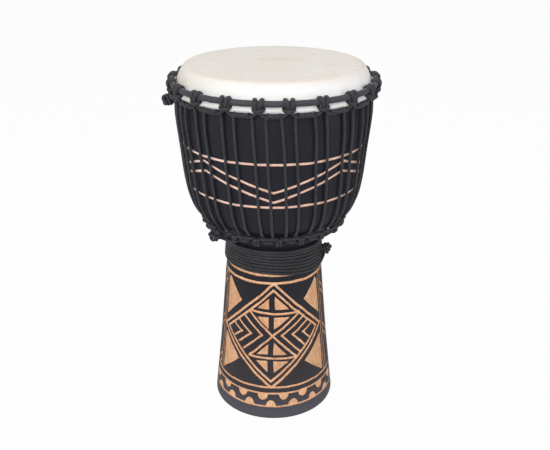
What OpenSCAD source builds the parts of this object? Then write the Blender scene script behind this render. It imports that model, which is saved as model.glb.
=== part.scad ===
// Rope-tuned goblet drum (djembe), free standing on its foot.
// Millimetres. Origin: centre of the foot's bottom face. +Z up, -Y is the front.
// Azimuths are degrees from the front, positive towards +X.

/* [Overall] */
// Height from the floor to the drumhead
overall_h = 600; // [560:1:640]
// Playing diameter, measured across the bearing edge
head_d = 278.4; // [270:0.2:284]
// Diameter of the bowl just under the head
bowl_d = 302.8; // [298:0.2:304]
// Diameter of the waist in the wood
waist_d = 154; // [146:1:156]
// Diameter of the foot where it meets the floor
foot_d = 211.8; // [196:0.2:224]

/* [Shell] */
// Wall thickness of the bowl
bowl_wall = 19; // [14:1:24]
// Diameter of the throat inside the waist
throat_d = 108; // [90:1:116]
// Wall thickness of the foot at the floor
foot_wall = 15; // [10:1:20]
// Depth of the turned grooves
groove_depth = 1.2; // [0.6:0.1:2]

/* [Rings] */
// Steel wire of the crown ring and the bottom ring
ring_wire_d = 6; // [5:0.5:6.5]
// Outside diameter of a ring once it is wrapped in cloth
ring_wrap_d = 8.4; // [8:0.1:8.4]
// Centreline radius of the crown ring
crown_ring_r = 159; // [159:0.1:161]
// Height of the crown ring's centreline
crown_ring_z = 575.4; // [575:0.1:576.5]
// Steel wire of the flesh ring inside the fold of the skin
flesh_wire_d = 5; // [4:0.5:5]
// Centreline radius of the flesh ring
flesh_ring_r = 154; // [154:0.1:154.2]
// Height of the flesh ring's centreline
flesh_ring_z = 563.5; // [563.3:0.1:563.9]
// Centreline radius of the bottom ring
bottom_ring_r = 112.5; // [112.5:0.1:113]
// Height of the bottom ring's centreline
bottom_ring_z = 341.3; // [341:0.1:341.3]

/* [Drumhead] */
// Thickness of the goat skin
skin_t = 0.9; // [0.6:0.1:0.9]

/* [Ropes] */
// Diameter of the rope where it is stretched tight
rope_d = 4.2; // [3.8:0.1:4.2]
// Diameter of the slack rope wound round the waist
slack_rope_d = 5.2; // [4.6:0.1:5.2]
// Number of hitches round each ring
loops = 21; // [21:1:21]
// Azimuth of the first hitch on the crown ring
first_hitch = 8.571; // [8.4:0.01:8.7]
// Thickness of the rope where it is pressed flat over a ring
hitch_rope_d = 3.3; // [3:0.1:3.3]
// How far the ropes lean sideways from the top to the bottom, in degrees
rope_lean = 4.2; // [3:0.1:5]
// How much that lean grows at the right (+X) and shrinks at the left, in degrees
lean_swing = 2.6; // [0:0.1:3]
// Turns of rope round the waist
waist_turns = 8; // [6:1:8]

/* [Hidden] */
$fn = 96;
clearance = 0.05;          // gap left between two pieces that touch
pitch = 360 / loops;       // azimuth from one hitch to the next
height_scale = overall_h / 600;   // the shell's tables are written for a 600 mm drum

head_r = head_d / 2;
bowl_r = bowl_d / 2;
waist_r = waist_d / 2;
foot_r = foot_d / 2;
throat_r = throat_d / 2;
bowl_inner_r = bowl_r - bowl_wall;
foot_inner_r = foot_r - foot_wall;
rope_r = rope_d / 2;
hitch_rope_r = hitch_rope_d / 2;
slack_rope_r = slack_rope_d / 2;
ring_wrap_r = ring_wrap_d / 2;

wood_color = [0.1, 0.1, 0.11];
steel_color = "silver";
cloth_color = [0.13, 0.13, 0.14];
skin_color = [0.93, 0.89, 0.82];
rope_color = [0.16, 0.16, 0.17];

// ---------- lists of points ----------
function reverse(list) = [for (i = [len(list) - 1 : -1 : 0]) list[i]];
// step from the point before i to the point after it, cut short at the ends
function chord(path, i) = path[min(i + 1, len(path) - 1)] - path[max(i - 1, 0)];

// ---------- smooth curve through keys of [height, radius] ----------
function span(keys, z, i = 0) =
  i >= len(keys) - 2 || z <= keys[i + 1][0] ? i : span(keys, z, i + 1);
function slope(keys, i) = let (run = chord(keys, i)) run[1] / run[0];
// cubic Hermite curve
function smooth(keys, z) =
  let (i = span(keys, z), low_key = keys[i], high_key = keys[i + 1],
       gap = high_key[0] - low_key[0], t = (z - low_key[0]) / gap)
  (2 * pow(t, 3) - 3 * pow(t, 2) + 1) * low_key[1]
  + (pow(t, 3) - 2 * pow(t, 2) + t) * gap * slope(keys, i)
  + (-2 * pow(t, 3) + 3 * pow(t, 2)) * high_key[1]
  + (pow(t, 3) - pow(t, 2)) * gap * slope(keys, i + 1);
// heights about one step apart, from the first key to just short of the last
function heights(keys, step) = [for (i = [0 : len(keys) - 2])
  let (gap = keys[i + 1][0] - keys[i][0], count = max(1, round(gap / step)))
  for (j = [0 : count - 1]) keys[i][0] + gap * j / count];
function profile(keys, step) =
  [for (z = heights(keys, step)) [smooth(keys, z), z * height_scale]];

// ---------- shell ----------
// [height, outside radius], from the floor up
outer_keys = [
  [0, foot_r - 1.6], [3, foot_r - 0.2], [12, foot_r - 0.8], [60, foot_r - 5.9],
  [120, foot_r - 12.2], [180, foot_r - 17.5], [222, foot_r - 21.2],
  [243, foot_r - 22.8], [258, foot_r - 24.6], [270, foot_r - 26.5],
  [285, waist_r + 0.9], [300, waist_r], [310, waist_r + 1.2], [320, waist_r + 5.3],
  [330, waist_r + 12.6], [335, waist_r + 16.7], [340, waist_r + 21.2],
  [345, bowl_r - 48.2], [350, bowl_r - 42.8], [355, bowl_r - 37.5],
  [360, bowl_r - 32.2], [370, bowl_r - 25.1], [380, bowl_r - 20.2],
  [390, bowl_r - 16.5], [405, bowl_r - 13], [420, bowl_r - 10.6],
  [468, bowl_r - 5.6], [500, bowl_r - 1.7], [530, bowl_r], [555, bowl_r - 1.1],
  [572, bowl_r - 1.6], [578, bowl_r - 2.2]
];
// [height, inside radius] of the bell, the throat and the bowl, from the floor up
inner_keys = [
  [0, foot_inner_r], [60, foot_inner_r - 3.5], [140, foot_inner_r - 12],
  [220, throat_r + 10.5], [268, throat_r + 2.2], [292, throat_r], [316, throat_r + 3.2],
  [345, throat_r + 22], [370, throat_r + 42], [400, throat_r + 58.5],
  [440, bowl_inner_r - 9.4], [500, bowl_inner_r - 3.4], [560, bowl_inner_r],
  [588, bowl_inner_r - 0.4]
];
// bearing edge, [radius from the playing radius, depth below the wood's top], outside to inside
edge_keys = [
  [9.3, 17.4], [7, 12.2], [4.6, 7.4], [2.4, 3.7], [0.6, 1.5],
  [-1.6, 0.35], [-3.4, 0], [-5.2, 0.5], [-6.4, 2.2], [-6.9, 5]
];
// [height, width] of the turned grooves
grooves = [
  [25.8, 3.6], [51, 3.6], [62.1, 4.2], [256.5, 4.8], [269.4, 4.8], [412.8, 4], [481.8, 4]
];
outer_step = 9;
inner_step = 16;
groove_cutter_w = 12;      // radial width, reaches clear of the wood
wood_top = overall_h - skin_t - 4 * clearance;

function wood_r(z) = smooth(outer_keys, z / height_scale);

module shell_section()
  polygon(concat(
    profile(outer_keys, outer_step),
    [for (key = edge_keys) [head_r + key[0], wood_top - key[1]]],
    reverse(profile(inner_keys, inner_step))));

module shell() color(wood_color)
  difference() {
    rotate_extrude() shell_section();
    for (groove = grooves)
      let (z = groove[0] * height_scale, width = groove[1] * height_scale)
        rotate_extrude()
          translate([wood_r(z) - groove_depth, z - width / 2])
            square([groove_cutter_w, width]);
  }

// ---------- rings ----------
module ring(radius, z, wire_d)
  translate([0, 0, z]) rotate_extrude() translate([radius, 0]) circle(d = wire_d, $fn = 32);

module cloth(radius, z)
  translate([0, 0, z]) rotate_extrude() translate([radius, 0]) difference() {
    circle(r = ring_wrap_r, $fn = 32);
    circle(r = ring_wire_d / 2 + clearance, $fn = 32);
  }

module flesh_ring() color(steel_color) ring(flesh_ring_r, flesh_ring_z, flesh_wire_d);
module crown_ring() color(steel_color) ring(crown_ring_r, crown_ring_z, ring_wire_d);
module bottom_ring() color(steel_color) ring(bottom_ring_r, bottom_ring_z, ring_wire_d);
module crown_ring_wrap() color(cloth_color) cloth(crown_ring_r, crown_ring_z);
module bottom_ring_wrap() color(cloth_color) cloth(bottom_ring_r, bottom_ring_z);

// ---------- skin: flat head, over the bearing edge, down the shell, round the flesh ring ----------
// [radius from the playing radius, depth below the flat head] over the bearing edge
skin_edge_keys = [
  [-4, 0], [-1.2, 0.45], [1.2, 1.7], [3.2, 3.8], [5.4, 7.2], [7.8, 12.1], [10.3, 17.2]
];
skin_mid_z = overall_h - skin_t / 2;
fold_r = flesh_wire_d / 2 + clearance + skin_t / 2;
skin_wall_r = flesh_ring_r - fold_r;
// middle of the skin's thickness, from the centre outwards
skin_path = concat(
  [[0, skin_mid_z]],
  [for (key = skin_edge_keys) [head_r + key[0], skin_mid_z - key[1]]],
  [[skin_wall_r - 0.35, 577.6 * height_scale],
   [skin_wall_r, 572 * height_scale],
   [skin_wall_r, flesh_ring_z]],
  [for (turn = [200 : 20 : 400])
    [flesh_ring_r + fold_r * cos(turn), flesh_ring_z + fold_r * sin(turn)]]);

function normal(path, i) = let (run = chord(path, i)) [-run[1], run[0]] / norm(run);
// path moved sideways, kept from crossing the axis
function shifted(path, distance) = [for (i = [0 : len(path) - 1])
  let (point = path[i] + normal(path, i) * distance) [max(point[0], 0), point[1]]];
module band(path, thickness)
  polygon(concat(shifted(path, thickness / 2), reverse(shifted(path, -thickness / 2))));

module drumhead_skin() color(skin_color) rotate_extrude() band(skin_path, skin_t);

// ---------- rope through a list of [point, radius] ----------
rope_sides = 6;                      // corners of a rope's section
first_corner = [0.31, 0.23, 0.92];   // rough direction of the first section's first corner

function unit(v) = v / norm(v);
function square_to(v, axis) = unit(v - (v * axis) * axis);

module rope(stations) {
  path = [for (station = stations) station[0]];
  last = len(path) - 1;
  axes = [for (i = [0 : last]) unit(chord(path, i))];
  // each section's corner direction is carried on from the one before, so the rope doesn't twist
  corners = [for (i = 0, dir = square_to(first_corner, axes[0]); i <= last;
                  dir = square_to(dir, axes[min(i + 1, last)]), i = i + 1) dir];
  polyhedron(
    points = [for (i = [0 : last])
      let (across = cross(axes[i], corners[i]))
      for (k = [0 : rope_sides - 1])
        let (turn = 360 * k / rope_sides)
        path[i] + stations[i][1] * (cos(turn) * corners[i] + sin(turn) * across)],
    faces = concat(
      [[for (k = [0 : rope_sides - 1]) k]],
      [[for (k = [rope_sides - 1 : -1 : 0]) last * rope_sides + k]],
      [for (i = [0 : last - 1], k = [0 : rope_sides - 1])
        let (j = (k + 1) % rope_sides, here = i * rope_sides, next = here + rope_sides)
        [here + k, next + k, next + j]],
      [for (i = [0 : last - 1], k = [0 : rope_sides - 1])
        let (j = (k + 1) % rope_sides, here = i * rope_sides, next = here + rope_sides)
        [here + k, next + j, here + j]]),
    convexity = 12);
}

function at(radius, azimuth, z) = [radius * sin(azimuth), -radius * cos(azimuth), z];
// points from a table of [radius, azimuth, height] offsets; side = -1 mirrors the azimuths
function placed(table, azimuth, side = 1, radius = 0, z = 0) =
  [for (row = table) at(radius + row[0], azimuth + row[1] * side, z + row[2])];
function with_radius(points, radius) = [for (point = points) [point, radius]];

// ---------- cradle ropes, hitched round the rings ----------
turn_points = 6;                     // points in one turn over a ring
hitch_points = 2 * turn_points;      // a hitch is two turns
turn_spacing = 1.03 * rope_d;        // from one turn to the next along the ring
// the flats of the turn, not its corners, rest on the cloth
hitch_r = (ring_wrap_r + clearance + hitch_rope_r) / cos(180 / turn_points);

// up = 1 climbs over the top from the outside, -1 dives under it
function hitch(azimuth, ring_r, ring_z, up) =
  let (creep = 360 * turn_spacing / (2 * PI * ring_r) / turn_points)
  with_radius([for (i = [0 : hitch_points - 1])
    let (turn = up * (i - 0.5) * 360 / turn_points)
    at(ring_r + hitch_r * cos(turn),
       azimuth + (i - (hitch_points - 1) / 2) * creep,
       ring_z + hitch_r * sin(turn))], hitch_rope_r);

// azimuth of a bottom hitch, half a pitch before the hitch above it and leaned over
function low(azimuth) =
  let (middle = azimuth - pitch / 2) middle + rope_lean + lean_swing * sin(middle);
// halfway from that bottom hitch to the next
function low_middle(azimuth) = (low(azimuth) + low(azimuth + pitch)) / 2;

// crown ring hitches that carry the knots; each cradle's first hitch is one pitch further on
top_knot_hitch = first_hitch - 5 * pitch;
bottom_knot_hitch = first_hitch - 3 * pitch;

// strands between the hitches, and the offsets from them on each side of a hitch
top_strand_r = 160.6;
top_strand_z = 555.2;
top_before = [[0.3, -4.3, 0.2], [1.9, -2.2, 9.7]];
top_after = [[2.1, 2.1, 9.5], [0.3, 4.3, 0.2]];
top_end_gap = 0.6;                   // degrees each end stops short of the meeting point
bottom_strand_r = 119.3;
bottom_strand_z = 350.1;
bottom_before = [[0.2, -3.8, -0.2]];
bottom_after = [[0.2, 3.8, -0.2]];
bottom_end_gap = 0.8;

function top_points(table, azimuth) =
  with_radius(placed(table, azimuth, radius = top_strand_r, z = top_strand_z), rope_r);
function bottom_points(table, azimuth) =
  with_radius(placed(table, azimuth, radius = bottom_strand_r, z = bottom_strand_z), rope_r);

module top_cradle_rope() color(rope_color)
  rope([for (k = [0 : loops - 1])
    let (azimuth = top_knot_hitch + (k + 1) * pitch)
    each concat(
      top_points([[0, k == 0 ? top_end_gap : 0, 0]], azimuth - pitch / 2),
      top_points(top_before, azimuth),
      hitch(azimuth, crown_ring_r, crown_ring_z, 1),
      top_points(top_after, azimuth),
      k == loops - 1 ? top_points([[0, -top_end_gap, 0]], azimuth + pitch / 2) : [])]);

module bottom_cradle_rope() color(rope_color)
  rope([for (k = [0 : loops - 1])
    let (above = bottom_knot_hitch + (k + 1) * pitch, azimuth = low(above))
    each concat(
      bottom_points([[0, k == 0 ? bottom_end_gap : 0, 0]], low_middle(above - pitch)),
      bottom_points(bottom_before, azimuth),
      hitch(azimuth, bottom_ring_r, bottom_ring_z, -1),
      bottom_points(bottom_after, azimuth),
      k == loops - 1 ? bottom_points([[0, -bottom_end_gap, 0]], low_middle(above)) : [])]);

// ---------- tension rope: legs hook over the upper strands and under the lower ones ----------
// tables of [radius, azimuth from the middle of the pair of legs, height]
lower_bend = [[118.9, 2.5, 345.5]];
lower_hook = [[116.3, 3.2, 346.7], [113.7, 3.6, 350.2], [117.5, 3.7, 354.9]];
upper_hook = [[155.4, 4, 552.6], [158.2, 4.6, 559.4]];
leg_heights = [361, 372, 390, 420, 470, 525];
leg_spread = 3.7;                    // azimuth from the middle to a leg at its lowest height
leg_narrowing = 0.1 / 200;           // loss of spread per mm of height
leg_lift = 1.2;                      // gap from the wood to the rope
upper_bend_r = 163.3;
upper_bend_z = 559;
upper_bend_in = 2.999;               // degrees from mid pitch where the rope comes in
upper_bend_out = 3;                  // and where it leaves

// one leg from the bottom up; side = -1 or 1 of the middle
function leg(azimuth, side) =
  let (drift = low_middle(azimuth) - azimuth)
  concat(
    placed(lower_hook, azimuth + drift, side),
    [for (z = leg_heights)
      let (spread = leg_spread - leg_narrowing * (z - leg_heights[0]),
           fall = (top_strand_z - z) / (top_strand_z - bottom_strand_z))
      at(wood_r(z * height_scale) + rope_r + leg_lift,
         azimuth + spread * side + drift * fall, z)],
    placed(upper_hook, azimuth, side));

module tension_rope() color(rope_color)
  rope(with_radius([for (k = [0 : loops - 1])
    let (azimuth = first_hitch + k * pitch, bottom = low_middle(azimuth))
    each concat(
      [at(upper_bend_r, azimuth - pitch / 2 + upper_bend_in, upper_bend_z)],
      reverse(leg(azimuth, -1)),
      placed(lower_bend, bottom, -1),
      placed(lower_bend, bottom, 1),
      leg(azimuth, 1),
      [at(upper_bend_r, azimuth + pitch / 2 - upper_bend_out, upper_bend_z)])], rope_r));

// ---------- slack rope wound round the waist, turn against turn ----------
waist_rope_z = 274.2;                // lowest turn

module waist_rope() color(rope_color)
  for (i = [0 : waist_turns - 1])
    let (z = waist_rope_z + i * (slack_rope_d + clearance),
         wood = max(wood_r(z - slack_rope_r), wood_r(z), wood_r(z + slack_rope_r)))
      ring(wood + slack_rope_r + clearance, z, slack_rope_d);

// ---------- knots ----------
// a rope ball: core with a turn of rope each way and a short tail, up unless tilted
module knot(size, tail, tilt = [0, 0, 0]) {
  sphere(d = size - rope_d * 0.6, $fn = 32);
  for (turn = [[0, 0, 0], [90, 0, 0], [0, 90, 0]])
    rotate(turn) rotate_extrude() translate([(size - rope_d) / 2, 0]) circle(d = rope_d, $fn = 24);
  rotate(tilt) cylinder(d = rope_d * 0.9, h = tail, $fn = 24);
}
module place(radius, azimuth, z) rotate([0, 0, azimuth]) translate([0, -radius, z]) children();

module top_cradle_knot() color(rope_color)
  place(radius = 169.4, azimuth = top_knot_hitch, z = 550.6) knot(size = 18, tail = 15);
module bottom_cradle_knot() color(rope_color)
  place(radius = 132.4, azimuth = low(bottom_knot_hitch) + 2.1, z = 341.5)
    knot(size = 19, tail = 13);
module waist_tie_knot() color(rope_color)
  place(radius = 92.6, azimuth = 80, z = 290) knot(size = 16.5, tail = 17, tilt = [180, 0, 0]);

shell();
drumhead_skin();
flesh_ring();
crown_ring();
crown_ring_wrap();
bottom_ring();
bottom_ring_wrap();
top_cradle_rope();
bottom_cradle_rope();
tension_rope();
waist_rope();
top_cradle_knot();
bottom_cradle_knot();
waist_tie_knot();
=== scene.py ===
"""A goblet-shaped drum with a carved, black-painted wooden shell, a hide head and laced rope.

It stands upright on its foot: the axis is Z, the foot rests on z = 0, the front faces -Y.
Shapes are worked out in millimetres, as (radius, azimuth, z); azimuth is in degrees, 0 at the
front and growing towards +X. Materials, lights and the camera are in metres.
"""
import bpy
import math
import numpy as np
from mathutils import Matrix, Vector, geometry, kdtree, noise


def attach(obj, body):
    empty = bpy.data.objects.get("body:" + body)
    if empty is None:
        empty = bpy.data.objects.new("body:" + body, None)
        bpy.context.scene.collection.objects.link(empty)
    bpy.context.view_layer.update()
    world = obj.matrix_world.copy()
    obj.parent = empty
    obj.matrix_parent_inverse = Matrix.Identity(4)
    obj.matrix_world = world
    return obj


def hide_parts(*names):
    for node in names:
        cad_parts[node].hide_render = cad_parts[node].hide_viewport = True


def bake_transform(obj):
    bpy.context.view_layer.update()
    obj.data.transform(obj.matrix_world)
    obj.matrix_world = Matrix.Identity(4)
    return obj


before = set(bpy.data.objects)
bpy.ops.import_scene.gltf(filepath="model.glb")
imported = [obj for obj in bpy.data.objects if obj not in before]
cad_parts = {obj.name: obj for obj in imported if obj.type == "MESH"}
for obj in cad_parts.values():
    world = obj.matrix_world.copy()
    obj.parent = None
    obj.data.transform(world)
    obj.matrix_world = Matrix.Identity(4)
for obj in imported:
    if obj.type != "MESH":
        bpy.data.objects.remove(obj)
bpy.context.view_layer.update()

MM = 0.001
TAU = 2 * math.pi
HEIGHT = 600.0

# ---------------------------------------------------------------- driving dimensions, mm
AROUND = 216                      # vertices round the turned wood
FOOT_FIELD = (12.0, 276.0)        # z of the carved field on the foot; the bowl starts at its top
BOWL_FIELD = (396.0, 500.0)       # z of the carved field on the bowl
WOOD_TOP = 578                    # z where the outer wall meets the bearing edge
CROWN_R, CROWN_Z = 159.0, 574.6   # centre line of the crown ring
BOTTOM_R, BOTTOM_Z = 112.5, 341.6  # centre line of the bottom ring
ROPE_R = 2.2
SLACK_R = 2.62                    # the rope wound round the waist

# outer wall of the shell: z, radius
OUTER_WALL = np.array([
    [0, 104.3], [3, 105.7], [12, 105.1], [60, 100.0], [120, 93.7], [180, 88.4], [222, 84.7],
    [243, 83.1], [258, 81.3], [270, 79.4], [285, 77.9], [300, 77], [310, 78.2], [320, 82.3],
    [330, 89.6], [335, 93.7], [340, 98.2], [345, 103.2], [350, 108.6], [355, 113.9],
    [360, 119.2], [370, 126.3], [380, 131.2], [390, 134.9], [405, 138.4], [420, 140.8],
    [468, 145.8], [500, 149.7], [530, 151.4], [555, 150.3], [572, 149.8], [578, 149.2]])
# inner wall: z, radius
INNER_WALL = np.array([
    [0, 90.9], [60, 87.4], [140, 78.9], [220, 64.5], [268, 56.2], [292, 54], [316, 57.2],
    [345, 76], [370, 96], [400, 112.5], [440, 123], [500, 129], [560, 132.4], [588, 132]])
INNER_TOP = (132.3, 593.9)        # radius, z where the inner wall meets the bearing edge
# underside and rolled bottom edge of the foot: radius, z
FOOT_ROLL = [(93.0, 0.9), (95.5, 0.25), (98.5, 0.0), (101.0, 0.0), (102.8, 0.25),
             (104.0, 0.95), (104.9, 1.9), (105.4, 3.1)]
# rounded bearing edge: offset outward from EDGE_R, drop below EDGE_Z
EDGE_R, EDGE_Z = 139.2, 598.9
BEARING_EDGE = [(9.3, 17.4), (7, 12.2), (4.6, 7.4), (2.4, 3.7), (0.6, 1.5), (-1.6, .35),
                (-3.4, 0), (-5.2, .5), (-6.4, 2.2), (-6.9, 5)]


# ---------------------------------------------------------------- helpers
def at(radius, azimuth, z):
    """Points (x, y, z) from radius, azimuth in degrees and height."""
    angle = np.radians(np.asarray(azimuth, float))
    radius = np.asarray(radius, float)
    return np.stack(np.broadcast_arrays(radius * np.sin(angle), -radius * np.cos(angle),
                                        np.asarray(z, float)), -1)


def noise_at(x, y, z):
    return noise.noise(Vector((x, y, z)))


def make(name, points, faces, materials, uv=None, face_slots=None, attrs=None, sharp=None):
    """A smooth-shaded mesh object from points in mm; sharp is the crease angle in degrees."""
    mesh = bpy.data.meshes.new(name)
    mesh.from_pydata([tuple(p) for p in np.asarray(points) * MM], [],
                     [tuple(int(i) for i in face) for face in faces])
    for material in materials:
        mesh.materials.append(material)
    mesh.polygons.foreach_set("use_smooth", [True] * len(mesh.polygons))
    if face_slots is not None:
        mesh.polygons.foreach_set("material_index", np.asarray(face_slots, np.int32))
    if uv is not None:
        layer = mesh.uv_layers.new(name="UVMap")
        layer.data.foreach_set("uv", np.asarray(uv, np.float32).ravel())
    for key, values in (attrs or {}).items():
        attribute = mesh.attributes.new(key, "FLOAT", "POINT")
        attribute.data.foreach_set("value", np.asarray(values, np.float32))
    mesh.update()
    if sharp:
        mesh.set_sharp_from_angle(angle=math.radians(sharp))
    obj = bpy.data.objects.new(name, mesh)
    bpy.context.scene.collection.objects.link(obj)
    return obj


def register(obj, body, node):
    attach(obj, body)
    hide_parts(node)


def wall_radius(wall, z):
    """Radius at height z on a smooth cubic through a wall's stations."""
    z = np.asarray(z, float)
    heights, radii = wall[:, 0], wall[:, 1]
    i = np.clip(np.searchsorted(heights, z, side="left") - 1, 0, len(wall) - 2)
    slope = np.empty(len(wall))
    slope[0] = (radii[1] - radii[0]) / (heights[1] - heights[0])
    slope[-1] = (radii[-1] - radii[-2]) / (heights[-1] - heights[-2])
    slope[1:-1] = (radii[2:] - radii[:-2]) / (heights[2:] - heights[:-2])
    span = heights[i + 1] - heights[i]
    t = (z - heights[i]) / span
    return ((2 * t**3 - 3 * t**2 + 1) * radii[i] + (t**3 - 2 * t**2 + t) * span * slope[i]
            + (-2 * t**3 + 3 * t**2) * radii[i + 1] + (t**3 - t**2) * span * slope[i + 1])


def wood(z):
    return float(wall_radius(OUTER_WALL, z))


# ---------------------------------------------------------------- materials
class Material:
    """A small builder of node materials. Colours are linear RGB."""

    def __init__(self, name):
        self.material = bpy.data.materials.new(name)
        self.material.use_nodes = True
        self.tree = self.material.node_tree
        self.shader = self.tree.nodes["Principled BSDF"]

    def node(self, kind, **settings):
        node = self.tree.nodes.new("ShaderNode" + kind)
        for key, value in settings.items():
            setattr(node, key, value)
        return node

    def feed(self, socket, value):
        """Link an output to the socket, or set its value."""
        if hasattr(value, "is_output"):
            self.tree.links.new(value, socket)
        elif value is not None:
            if socket.type == "RGBA" and len(value) == 3:
                value = (*value, 1.0)
            socket.default_value = value

    def math(self, operation, a, b=None, c=None, clamp=False):
        node = self.node("Math", operation=operation, use_clamp=clamp)
        for i, value in enumerate((a, b, c)):
            self.feed(node.inputs[i], value)
        return node.outputs[0]

    def times(self, a, b, clamp=False):
        return self.math("MULTIPLY", a, b, clamp=clamp)

    def scaled(self, value, gain, offset):
        return self.math("MULTIPLY_ADD", value, gain, offset)

    def wave(self, phase):
        """A sine moved into 0..1."""
        return self.scaled(self.math("SINE", phase), gain=0.5, offset=0.5)

    def mix(self, factor, a, b):
        node = self.node("Mix", data_type="RGBA")
        self.feed(node.inputs[0], factor)
        self.feed(node.inputs[6], a)
        self.feed(node.inputs[7], b)
        return node.outputs[2]

    def tint(self, under, over, mask, amount):
        """Lay a colour over another where the mask is bright."""
        return self.mix(self.times(mask, amount), under, over)

    def ramp(self, value, start, end, first=0, last=1):
        """Grey from first to last as the value goes from start to end."""
        node = self.node("ValToRGB")
        for stop, position, grey in zip(node.color_ramp.elements, (start, end), (first, last)):
            stop.position = position
            stop.color = (grey, grey, grey, 1)
        self.feed(node.inputs[0], value)
        return node.outputs[0]

    def fade(self, value, zero_at, one_at):
        node = self.node("MapRange", clamp=True)
        for i, number in enumerate((value, zero_at, one_at)):
            self.feed(node.inputs[i], number)
        return node.outputs[0]

    def position(self, stretch=(1, 1, 1)):
        """Object coordinates; a stretch below 1 draws a pattern out along that axis."""
        coordinates = self.node("TexCoord")
        mapping = self.node("Mapping")
        self.feed(mapping.inputs[0], coordinates.outputs["Object"])
        mapping.inputs["Scale"].default_value = stretch
        return mapping.outputs[0]

    def split(self, vector):
        node = self.node("SeparateXYZ")
        self.feed(node.inputs[0], vector)
        return node.outputs

    def uv(self):
        return self.split(self.node("UVMap", uv_map="UVMap").outputs[0])

    def noise(self, scale, detail, rough, distortion=0.0, stretch=(1, 1, 1), place=None):
        place = place or self.position(stretch)
        node = self.node("TexNoise")
        self.feed(node.inputs["Vector"], place)
        node.inputs["Scale"].default_value = scale
        node.inputs["Detail"].default_value = detail
        node.inputs["Roughness"].default_value = rough
        node.inputs["Distortion"].default_value = distortion
        return node.outputs["Fac"]

    def attribute(self, name):
        return self.node("Attribute", attribute_name=name).outputs["Fac"]

    def bump(self, height, strength, distance, under=None):
        node = self.node("Bump")
        node.inputs["Strength"].default_value = strength
        node.inputs["Distance"].default_value = distance
        self.feed(node.inputs["Height"], height)
        self.feed(node.inputs["Normal"], under)
        return node.outputs[0]

    def finish(self, **inputs):
        """Feed the shader's inputs, named with _ for spaces."""
        for key, value in inputs.items():
            self.feed(self.shader.inputs[key.replace("_", " ")], value)
        return self.material


def paint_material():
    """Black paint, lighter over the foot's carved band; a painted floor reflection lightens its
    bottom edge.
    """
    m = Material("black_paint")
    place = m.position()
    cloud = m.noise(scale=9, detail=5, rough=0.6, place=place)
    fine = m.noise(scale=420, detail=3, rough=0.6, stretch=(1, 1, 0.16))
    height = m.split(place)[2]
    # painted reflection: the foot's bottom band is lightened to stand in for the white floor
    # reflected in the paint
    foot = m.fade(height, zero_at=0.054, one_at=0.012)
    # falls with height: full from 0.040 down, gone above 0.262
    lower = m.fade(height, zero_at=0.262, one_at=0.040)
    col = m.mix(cloud, (0.0098, 0.0102, 0.0152), (0.0158, 0.0158, 0.0222))
    col = m.mix(m.ramp(fine, start=0.55, end=0.8, last=0.35), col, (0.028, 0.027, 0.030))
    col = m.tint(col, (0.092, 0.079, 0.080), mask=lower,
                 amount=m.scaled(cloud, gain=0.24, offset=0.24))
    # painted reflection of the floor, a bluish grey laid over the bottom band
    col = m.tint(col, (0.088, 0.085, 0.106), mask=foot, amount=0.9)
    rough = m.scaled(cloud, gain=0.18, offset=0.34)
    rough = m.scaled(fine, gain=0.10, offset=rough)
    relief = m.bump(fine, strength=0.35, distance=0.00025)
    broad = m.noise(scale=60, detail=2, rough=0.5, stretch=(1, 1, 0.35))
    relief = m.bump(broad, strength=0.25, distance=0.0008, under=relief)
    return m.finish(Base_Color=col, Roughness=rough, Normal=relief, Specular_IOR_Level=0.18)


def carved_material():
    """Bare wood in the carving: warm on the foot, paler on the bowl, dark at the cut's rim."""
    m = Material("carved_wood")
    grain = m.noise(scale=300, detail=5, rough=0.62, distortion=0.4, stretch=(1, 1, 0.055))
    streak = m.noise(scale=60, detail=4, rough=0.6, stretch=(1, 1, 0.12))
    blot = m.noise(scale=26, detail=4, rough=0.6)
    line = m.mix(streak, (0.84, 0.490, 0.280), (0.725, 0.385, 0.205))
    fill = m.mix(streak, (0.880, 0.495, 0.258), (0.715, 0.375, 0.182))
    side, _, height = m.split(m.position())
    bowl = m.fade(height, zero_at=0.34, one_at=0.36)
    col = m.mix(m.attribute("fill"), line, fill)
    chip = m.noise(scale=170, detail=5, rough=0.68, distortion=0.7, stretch=(1, 1, 0.6))
    col = m.tint(col, (0.93, 0.70, 0.50), mask=m.ramp(chip, start=0.50, end=0.64), amount=0.50)
    col = m.tint(col, (0.50, 0.225, 0.105),
                 mask=m.ramp(chip, start=0.34, end=0.46, first=1, last=0), amount=0.42)
    col = m.tint(col, (0.42, 0.20, 0.09), mask=m.ramp(blot, start=0.45, end=0.75), amount=0.30)
    col = m.tint(col, (0.34, 0.16, 0.075), mask=m.ramp(grain, start=0.52, end=0.72), amount=0.34)
    # painted light on the bowl's cuts: greyer and paler towards -X as a painted sheen, duller and
    # darker towards +X as painted shade
    left_sheen = m.fade(side, zero_at=-0.030, one_at=-0.105)
    right_shade = m.fade(side, zero_at=0.075, one_at=0.140)
    pale = m.mix(m.ramp(chip, start=0.40, end=0.60), (0.78, 0.510, 0.430), (0.92, 0.680, 0.590))
    left_sheen = m.times(left_sheen, m.scaled(blot, gain=0.5, offset=0.55), clamp=True)
    pale = m.mix(left_sheen, pale, (0.86, 0.750, 0.720))
    pale = m.tint(pale, (0.56, 0.445, 0.410), mask=right_shade, amount=0.7)
    col = m.tint(col, pale, mask=bowl, amount=0.74)
    col = m.tint(col, (0.060, 0.026, 0.014), mask=m.attribute("rim"), amount=0.66)
    rough = m.scaled(grain, gain=0.2, offset=0.52)
    relief = m.bump(grain, strength=0.5, distance=0.00035)
    gouge = m.noise(scale=150, detail=2, rough=0.5, stretch=(1, 1, 0.5))
    relief = m.bump(gouge, strength=0.45, distance=0.0006, under=relief)
    return m.finish(Base_Color=col, Roughness=rough, Normal=relief, Specular_IOR_Level=0.3)


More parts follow.
